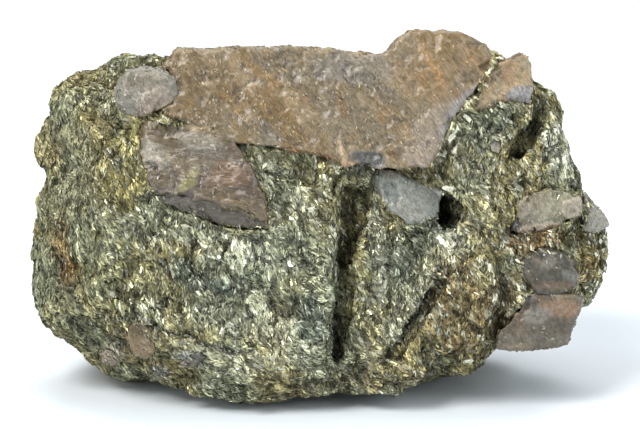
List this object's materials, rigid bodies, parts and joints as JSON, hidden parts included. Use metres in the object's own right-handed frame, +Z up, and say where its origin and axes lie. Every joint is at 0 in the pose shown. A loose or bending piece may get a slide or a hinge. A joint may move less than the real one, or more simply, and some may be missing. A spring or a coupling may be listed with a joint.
{
  "type": "lawsonite specimen",
  "caption": "Hand specimen of green mica schist holding blocky tan, grey and brown lawsonite crystals, cut flat below so that it stands.",
  "frame": {"origin": "on the surface that the specimen rests on, below the middle of its overall box", "axes": "+X along its length to the viewer's right, +Y from the display face towards the back, +Z up"},
  "size_m": [0.0598, 0.0329, 0.0385],
  "materials": {
    "schist": "flaky, grey-green with silvery glints",
    "tan_crystal": "cloudy, waxy, iron-stained",
    "grey_crystal": "frosted pale grey",
    "brown_crystal": "dull greyish brown"
  },
  "bodies": {
    "root": {"schist": "schist", "large_crystal": "tan_crystal", "lower_crystal": "brown_crystal", "rounded_crystal": "grey_crystal", "upper_right_crystal": "tan_crystal", "centre_crystal": "grey_crystal", "small_grain": "grey_crystal", "right_upper_crystal": "grey_crystal", "right_tip_crystal": "grey_crystal", "right_middle_crystal": "grey_crystal", "right_lower_crystal": "grey_crystal", "lower_left_crystal": "tan_crystal", "corner_crystal": "grey_crystal", "foot_crystal": "grey_crystal"}
  },
  "joints": []
}
